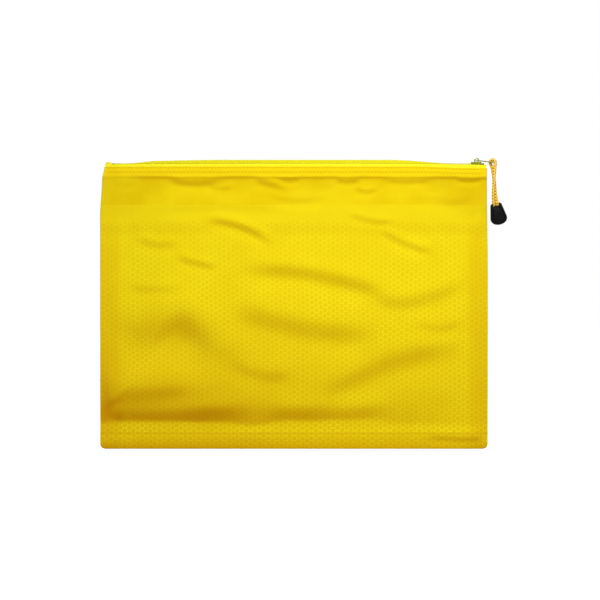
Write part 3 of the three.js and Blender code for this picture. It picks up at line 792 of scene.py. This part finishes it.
def shader_group(name, *labels):
    """A node group that gives the labelled values. Returns its tree and its output node."""
    tree = bpy.data.node_groups.new(name, "ShaderNodeTree")
    for label in labels:
        tree.interface.new_socket(label, in_out="OUTPUT", socket_type="NodeSocketFloat")
    return tree, tree.nodes.new("NodeGroupOutput")


def coordinates(tree):
    """Object coordinates in millimetres, whole and as X, Y and Z."""
    where = add(tree, "TexCoord").outputs["Object"]
    scaled = add(tree, "VectorMath", {0: where, "Scale": 1000.0}, operation="SCALE").outputs[0]
    return scaled, add(tree, "SeparateXYZ", {0: scaled}).outputs


def net_group():
    """The woven-in net: rounded six-sided cells in staggered rows between raised threads."""
    tree, out = shader_group("woven_net", "Cell", "Height")
    where, xyz = coordinates(tree)
    stray = noise(tree, where, 0.06, 1.0)
    shift = times(tree, calc(tree, "SUBTRACT", stray, 0.5), 3.0)
    x = times(tree, calc(tree, "ADD", xyz[0], shift), 2 * math.pi / NET_PITCH_ACROSS)
    z = times(tree, calc(tree, "ADD", xyz[2], shift), 2 * math.pi / NET_PITCH_UP)
    wave = calc(tree, "COSINE", x)
    both = times(tree, calc(tree, "ADD", wave, calc(tree, "COSINE", z)), wave)
    field = calc(tree, "SUBTRACT", times(tree, both, 2.0), 1.0)
    # The net shows most low down, less towards the lap and least over it
    shown = ramp(tree, xyz[2], 16.0, 34.0, 1.0, 0.72)
    shown = times(tree, shown, ramp(tree, xyz[2], 100.0, 190.0, 1.0, 0.6))
    over_lap = ramp(tree, xyz[2], STRIP_BOTTOM - 4, STRIP_BOTTOM + 2, 1.0, 0.4)
    shown = times(tree, shown, over_lap)
    # A thread stands where the field is below its edge, and a cell above it
    edge_low, edge_high = -1.25, -0.5
    cell = calc(tree, "SUBTRACT", ramp(tree, field, edge_low, edge_high), 0.72)
    cell = calc(tree, "ADD", times(tree, cell, shown), 0.6)
    thread = times(tree, ramp(tree, field, edge_low, edge_high, 1.0, 0.0), shown)
    tree.links.new(cell, out.inputs["Cell"])
    tree.links.new(thread, out.inputs["Height"])
    return tree


def film_group():
    """Soft plastic film: faint mottling of its colour, a very fine pebble and scuffs."""
    tree, out = shader_group("plastic_film", "Mottle", "Pebble", "Scuff")
    where, _ = coordinates(tree)
    mottle = noise(tree, where, 0.035, 3.0, 0.55)
    pebble = noise(tree, where, 2.2, 2.0)
    scuff = noise(tree, where, 0.25, 6.0, 0.7)
    tree.links.new(ramp(tree, mottle, 0.3, 0.7), out.inputs["Mottle"])
    tree.links.new(pebble, out.inputs["Pebble"])
    tree.links.new(ramp(tree, scuff, 0.52, 0.75), out.inputs["Scuff"])
    return tree


def near_line(tree, value, at, half):
    """1 on a line and 0 beyond half its width."""
    away = calc(tree, "ABSOLUTE", calc(tree, "SUBTRACT", value, at))
    return ramp(tree, away, half * 0.4, half, 1.0, 0.0)


def layers_group():
    """Folded allowances seen through the film: their edges as lines, and their whole area."""
    tree, out = shader_group("layers_behind", "Line", "Double")
    _, xyz = coordinates(tree)
    inward = calc(tree, "SUBTRACT", HALF_WIDTH, calc(tree, "ABSOLUTE", xyz[0]))
    side_line = near_line(tree, inward, SIDE_ALLOWANCE, 0.9)
    side_line = times(tree, side_line, ramp(tree, xyz[2], 190.0, 198.0, 0.35, 0.0))
    low_line = near_line(tree, xyz[2], BOTTOM_ALLOWANCE, 1.1)
    side_double = ramp(tree, inward, SIDE_ALLOWANCE - 2.5, SIDE_ALLOWANCE + 0.8, 1.0, 0.0)
    side_double = times(tree, side_double, ramp(tree, xyz[2], 150.0, 200.0, 1.0, 0.3))
    low_double = ramp(tree, xyz[2], BOTTOM_ALLOWANCE - 0.4, BOTTOM_ALLOWANCE + 0.4, 1.0, 0.0)
    tree.links.new(calc(tree, "MAXIMUM", side_line, low_line), out.inputs["Line"])
    tree.links.new(calc(tree, "MAXIMUM", side_double, low_double), out.inputs["Double"])
    return tree


def new_material(name, **sockets):
    """A material whose shader has the given sockets set, such as specular_ior_level=0.2."""
    material = bpy.data.materials.new(name)
    material.use_nodes = True
    tree = material.node_tree
    shader = tree.nodes["Principled BSDF"]
    for label, value in sockets.items():
        shader.inputs[label.replace("_", " ").title().replace("Ior", "IOR")].default_value = value
    return material, tree, shader


def use_group(tree, group):
    node = tree.nodes.new("ShaderNodeGroup")
    node.node_tree = group
    return node.outputs


def bump(tree, shader, height, distance):
    """Relief from a height, as deep as the distance in millimetres."""
    node = add(tree, "Bump", {"Height": height, "Strength": 1.0, "Distance": distance * MM})
    tree.links.new(node.outputs[0], shader.inputs["Normal"])


NET = net_group()
FILM = film_group()
LAYERS = layers_group()
SHEEN_YELLOW = colour("ffe838")


def film_colour(tree, base, layers):
    """Paints shade into a film's colour where its points carry it, and deepens it where the film is
    doubled or edged from behind.
    """
    painted_shade = add(tree, "Attribute", attribute_name="painted_shade").outputs["Fac"]
    # Painted shade: the film turns darker and more orange where shade is painted on its points
    base = mix(tree, times(tree, painted_shade, 0.7), base, colour("c88a04"))
    base = mix(tree, times(tree, layers["Double"], 0.22), base, colour("e2b60a"))
    return mix(tree, times(tree, layers["Line"], 0.48), base, colour("d6ac0a"))


def mesh_film():
    """Translucent yellow film with a net woven in."""
    material, tree, shader = new_material("net_film", specular_ior_level=0.2)
    shader.inputs["Specular Tint"].default_value = SHEEN_YELLOW
    net, film, layers = (use_group(tree, g) for g in (NET, FILM, LAYERS))
    base = mix(tree, net["Cell"], colour("ffef1e"), colour("eacf0b"))
    base = mix(tree, times(tree, film["Mottle"], 0.3), base, colour("eccc0a"))
    _, xyz = coordinates(tree)
    lap = ramp(tree, xyz[2], STRIP_BOTTOM - 1.0, STRIP_BOTTOM + 1.0)
    base = mix(tree, times(tree, lap, 0.7), base, colour("f0da14"))
    base = film_colour(tree, base, layers)
    tree.links.new(base, shader.inputs["Base Color"])
    rough = ramp(tree, film["Scuff"], 0.0, 1.0, 0.5, 0.62)
    tree.links.new(rough, shader.inputs["Roughness"])
    height = calc(tree, "ADD", net["Height"], times(tree, film["Pebble"], 0.5))
    bump(tree, shader, height, 0.05)
    return material


def plain_film():
    """Smooth yellow film of the top strip, brighter where the tape lies behind it."""
    material, tree, shader = new_material("plain_film", specular_ior_level=0.25)
    shader.inputs["Specular Tint"].default_value = SHEEN_YELLOW
    film, layers = (use_group(tree, g) for g in (FILM, LAYERS))
    _, xyz = coordinates(tree)
    base = mix(tree, film["Mottle"], colour("f0d812"), colour("eacd0b"))
    base = film_colour(tree, base, layers)
    behind = ramp(tree, xyz[2], TAPE_BOTTOM - 0.5, TAPE_BOTTOM + 0.6)
    base = mix(tree, times(tree, behind, 0.8), base, colour("f6d712"))
    tree.links.new(base, shader.inputs["Base Color"])
    rough = ramp(tree, film["Scuff"], 0.0, 1.0, 0.42, 0.55)
    tree.links.new(rough, shader.inputs["Roughness"])
    bump(tree, shader, film["Pebble"], 0.02)
    return material


def woven_tape():
    """Neon yellow zip tape in a fine herringbone, with shade painted along its top near the chain.
    """
    rib_pitch, herringbone = 0.9, 1.2
    material, tree, shader = new_material("zip_weave", roughness=0.8, specular_ior_level=0.15)
    _, xyz = coordinates(tree)
    run = times(tree, xyz[0], 2 * math.pi / rib_pitch)
    lean = calc(tree, "PINGPONG", calc(tree, "ADD", xyz[2], xyz[1]), herringbone)
    slant = times(tree, lean, 2 * math.pi / rib_pitch)
    rib = ramp(tree, calc(tree, "SINE", calc(tree, "ADD", run, slant)), -0.7, 0.7)
    base = mix(tree, rib, colour("fbf21c"), colour("fffd26"))
    # Painted shade: darker from the chain's height upwards, over the back tape's ridge
    base = mix(tree, ramp(tree, xyz[2], 245.9, 247.2), base, colour("e4dc16"))
    tree.links.new(base, shader.inputs["Base Color"])
    bump(tree, shader, rib, 0.1)
    return material


def coil_plastic():
    """Stiff yellow thread of the chain, slightly soiled."""
    material, tree, shader = new_material("coil_plastic", roughness=0.6, specular_ior_level=0.08)
    where, _ = coordinates(tree)
    grime = noise(tree, where, 0.8, 3.0)
    base = mix(tree, ramp(tree, grime, 0.4, 0.65), colour("dcd00c"), colour("ccc008"))
    tree.links.new(base, shader.inputs["Base Color"])
    return material


def painted_metal():
    """Olive-yellow paint on the zip's metal parts, worn thin in patches."""
    material, tree, shader = new_material("painted_metal", metallic=0.75)
    where, _ = coordinates(tree)
    rub = noise(tree, where, 1.6, 5.0, 0.65)
    worn = ramp(tree, rub, 0.5, 0.7)
    base = mix(tree, worn, colour("7c8016"), colour("b2b43c"))
    tree.links.new(base, shader.inputs["Base Color"])
    tree.links.new(ramp(tree, worn, 0.0, 1.0, 0.34, 0.5), shader.inputs["Roughness"])
    bump(tree, shader, rub, 0.03)
    return material


def cord_yarn(length):
    """Golden yarn with brown flecks, following the plait on the cord's own UV map."""
    material, tree, shader = new_material("cord_yarn", roughness=0.85, specular_ior_level=0.08)
    uv = add(tree, "SeparateXYZ", {0: add(tree, "TexCoord").outputs["UV"]}).outputs
    where, _ = coordinates(tree)
    along = times(tree, uv[1], PLAIT_TURNS * length / PLAIT_PITCH)
    round_it = times(tree, uv[0], PLAIT_TURNS)
    one = calc(tree, "SINE", times(tree, calc(tree, "ADD", round_it, along), math.pi))
    two = calc(tree, "SINE", times(tree, calc(tree, "SUBTRACT", round_it, along), math.pi))
    dip = times(tree, calc(tree, "ABSOLUTE", one), calc(tree, "ABSOLUTE", two))
    brown = ramp(tree, calc(tree, "MINIMUM", one, two), 0.05, 0.35)
    shade = noise(tree, where, 0.9, 3.0)
    yarn = mix(tree, ramp(tree, shade, 0.35, 0.65), colour("ffe05a"), colour("fccc40"))
    yarn = mix(tree, times(tree, brown, 0.9), yarn, colour("8c4c0e"))
    # Painted shade in the valleys between the plaited strands
    base = mix(tree, ramp(tree, dip, 0.0, 0.12), colour("b07c1e"), yarn)
    tree.links.new(base, shader.inputs["Base Color"])
    bump(tree, shader, noise(tree, where, 6.0, 2.0), 0.08)
    return material


def moulded_black():
    """Black plastic of the cord's end, with a fine grain."""
    material, tree, shader = new_material("moulded_black", specular_ior_level=0.08)
    where, _ = coordinates(tree)
    grain = noise(tree, where, 3.0, 3.0)
    base = mix(tree, ramp(tree, grain, 0.3, 0.7), colour("030303"), colour("080808"))
    tree.links.new(base, shader.inputs["Base Color"])
    tree.links.new(ramp(tree, grain, 0.3, 0.7, 0.42, 0.56), shader.inputs["Roughness"])
    bump(tree, shader, grain, 0.03)
    return material


def sewing_thread():
    """Twisted thread, deeper in colour than the film: partly the thread's own colour, partly shade
    painted at its needle holes.
    """
    material, tree, shader = new_material("sewing_thread", roughness=0.8, specular_ior_level=0.08)
    _, xyz = coordinates(tree)
    twist = calc(tree, "SINE", times(tree, calc(tree, "ADD", xyz[0], xyz[2]), 14.0))
    # Painted shade: the darker thread also stands for the shade at the stitch holes
    base = mix(tree, ramp(tree, twist, -1.0, 1.0), colour("d2a80a"), colour("e4c010"))
    tree.links.new(base, shader.inputs["Base Color"])
    bump(tree, shader, twist, 0.04)
    return material


# ---- build the bag

net_film, plain, tape_weave = mesh_film(), plain_film(), woven_tape()
coil, metal = coil_plastic(), painted_metal()
black, thread = moulded_black(), sewing_thread()

cord, cord_line, cord_length = braided_cord("braided_cord")
dress(cord, cord_yarn(cord_length / MM), "pull", "cord", "pull_cord")
end_body = hard_piece("cord_end_body", "cord_end_shell", 0.25, black, "pull", "cord_end")
end_cover = hard_piece("cord_end_cover", "cord_end_lid", 0.25, black, "pull", "cord_end")

for side, word, creases in ((FRONT, "front", FRONT_CREASES), (BACK, "back", BACK_CREASES)):
    panel = mesh_sheet(word + "_net_sheet", side, creases)
    dress(panel, net_film, "bag", "mesh_sheet", word + "_mesh_panel")
    face = partial(strip_face, creases=creases)
    strip = plain_strip(word + "_plain_strip", side, face)
    dress(strip, plain, "bag", "plain_sheet", word + "_top_strip")
    dress(zip_tape(word + "_woven_tape", side), tape_weave, "bag", "zip_tape", word + "_zip_tape")
    # The turns of one half lie between those of the other
    phase = 0 if side == FRONT else 0.5
    dress(zip_coil(word + "_coil", side, phase), coil, "bag", "zip_coil", word + "_zip_teeth")
    hard_piece(word + "_top_stop", word + "_end_clip", 0.1, metal, "bag", "slider_paint")
    for height, shift, _, label in STITCH_ROWS:
        row = stitch_row(f"{word}_{label}_stitches", side, height, shift, face)
        dress(row, thread, "bag", "plain_sheet")

hard_piece("bottom_stop", "bottom_clip", 0.1, metal, "bag", "slider_paint")
hard_piece("slider_body", "slider_shell", 0.14, metal, "slider", "slider_paint")
hard_piece("pull_tab", "pull_tab_plate", 0.12, metal, "tab", "slider_paint")


# ---- floor, world and lamps


def seen_rays(tree):
    """1 for rays from the camera, by reflection or through a see-through piece, else 0."""
    rays = add(tree, "LightPath").outputs
    seen = calc(tree, "MAXIMUM", rays["Is Camera Ray"], rays["Is Glossy Ray"])
    return calc(tree, "MAXIMUM", seen, rays["Is Transmission Ray"])


def add_floor():
    """Seen as white as the world round it, and a dull pale grey to the light on the bag."""
    pick_none()
    bpy.ops.mesh.primitive_plane_add(size=12, location=(0, 0, -0.0002))
    floor = bpy.context.object
    floor.name = "pale_floor"
    grey = (0.65, 0.65, 0.65, 1)
    material, tree, shader = new_material("floor_white", base_color=grey, roughness=0.9)
    shader.inputs["Emission Color"].default_value = (1, 1, 1, 1)
    glow = times(tree, seen_rays(tree), 0.86)
    tree.links.new(glow, shader.inputs["Emission Strength"])
    floor.data.materials.append(material)


def light_world():
    """White where it is seen, and a dim warm fill for everything else."""
    world = bpy.data.worlds.new("studio")
    bpy.context.scene.world = world
    world.use_nodes = True
    tree = world.node_tree
    tree.nodes.clear()
    soft = add(tree, "Background", {"Color": (1, 0.93, 0.86, 1), "Strength": 0.35})
    white = add(tree, "Background", {"Color": (1, 1, 1, 1), "Strength": 1.0})
    both = add(tree, "MixShader", {0: seen_rays(tree), 1: soft.outputs[0], 2: white.outputs[0]})
    output = tree.nodes.new("ShaderNodeOutputWorld")
    tree.links.new(both.outputs[0], output.inputs[0])


def add_lamp(name, place_at, aim, size, energy):
    pick_none()
    turn = (Vector(aim) - Vector(place_at)).to_track_quat("-Z", "Y").to_euler()
    bpy.ops.object.light_add(type="AREA", location=place_at, rotation=turn)
    lamp = bpy.context.object
    lamp.name = name
    lamp.data.size = size
    lamp.data.energy = energy


add_floor()
light_world()
add_lamp("back_lamp", (-0.2, 0.62, 0.6), (0, 0, 0.12), 0.3, 3.6)
add_lamp("key_lamp", (0.13, -0.52, 0.74), (0.02, 0, 0.12), 0.3, 5.05)

bpy.context.scene.view_settings.view_transform = "Standard"
